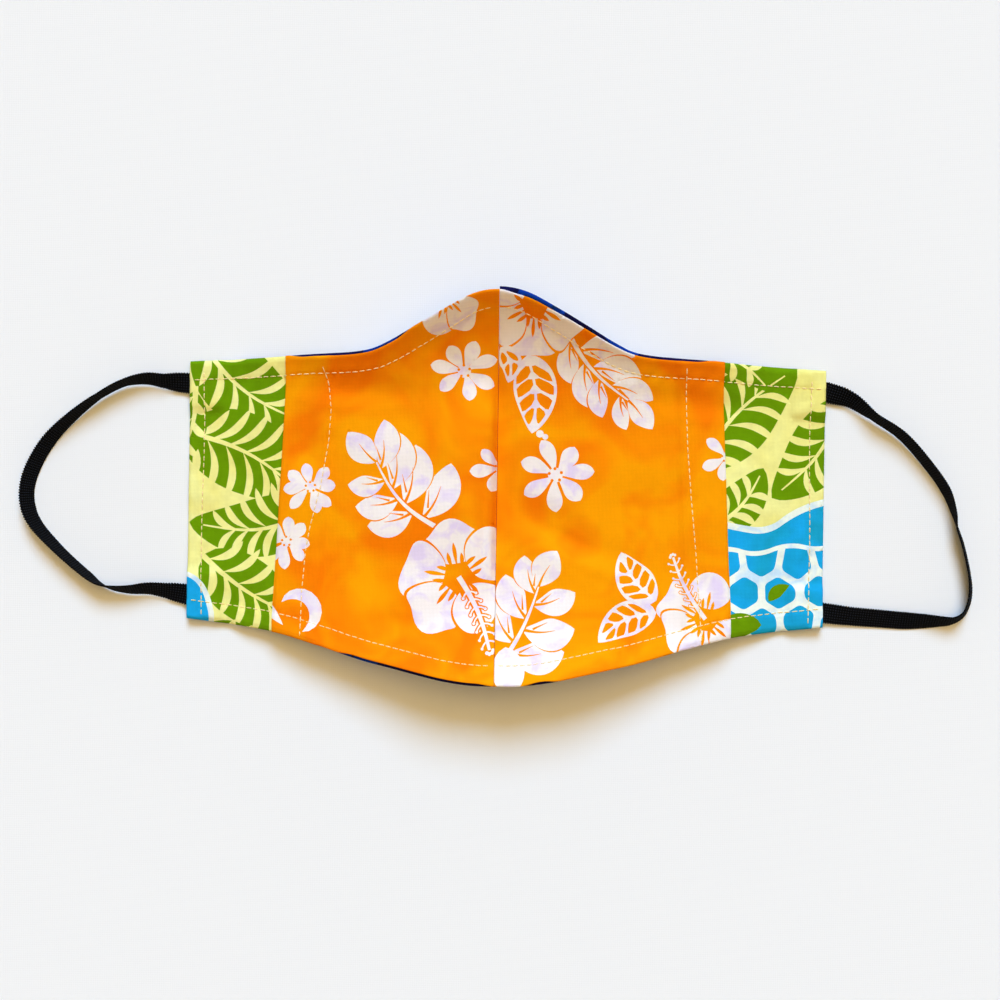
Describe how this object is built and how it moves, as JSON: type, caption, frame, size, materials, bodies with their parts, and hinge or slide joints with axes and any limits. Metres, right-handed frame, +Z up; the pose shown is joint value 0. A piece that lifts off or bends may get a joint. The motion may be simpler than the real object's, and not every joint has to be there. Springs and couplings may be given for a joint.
{
  "type": "cloth face mask",
  "caption": "Fitted cloth face mask with a curved centre seam, a filter pocket in its printed lining, hemmed edges and flat elastic ear loops, lying lining up.",
  "frame": {"origin": "middle of the whole mask with its ear loops, on the surface that it lies on", "axes": "+X to the wearer's right-hand ear loop, +Y towards the nose edge, +Z up out of the lining that the face goes against"},
  "size_m": [0.3236, 0.1312, 0.0242],
  "materials": {
    "outer_cloth": "printed cotton poplin, navy and royal blue with white leaf shapes",
    "cheek_cloth": "printed cotton poplin, leaf green, pale yellow and sky blue",
    "face_cloth": "printed cotton poplin, orange with white flowers",
    "elastic": "flat braided elastic, black"
  },
  "bodies": {
    "root": {"outer_panel_left": "outer_cloth", "outer_panel_right": "outer_cloth", "cheek_panel_left": "cheek_cloth", "cheek_panel_right": "cheek_cloth", "face_panel_left": "face_cloth", "face_panel_right": "face_cloth", "ear_loop_left": "elastic", "ear_loop_right": "elastic"}
  },
  "joints": []
}
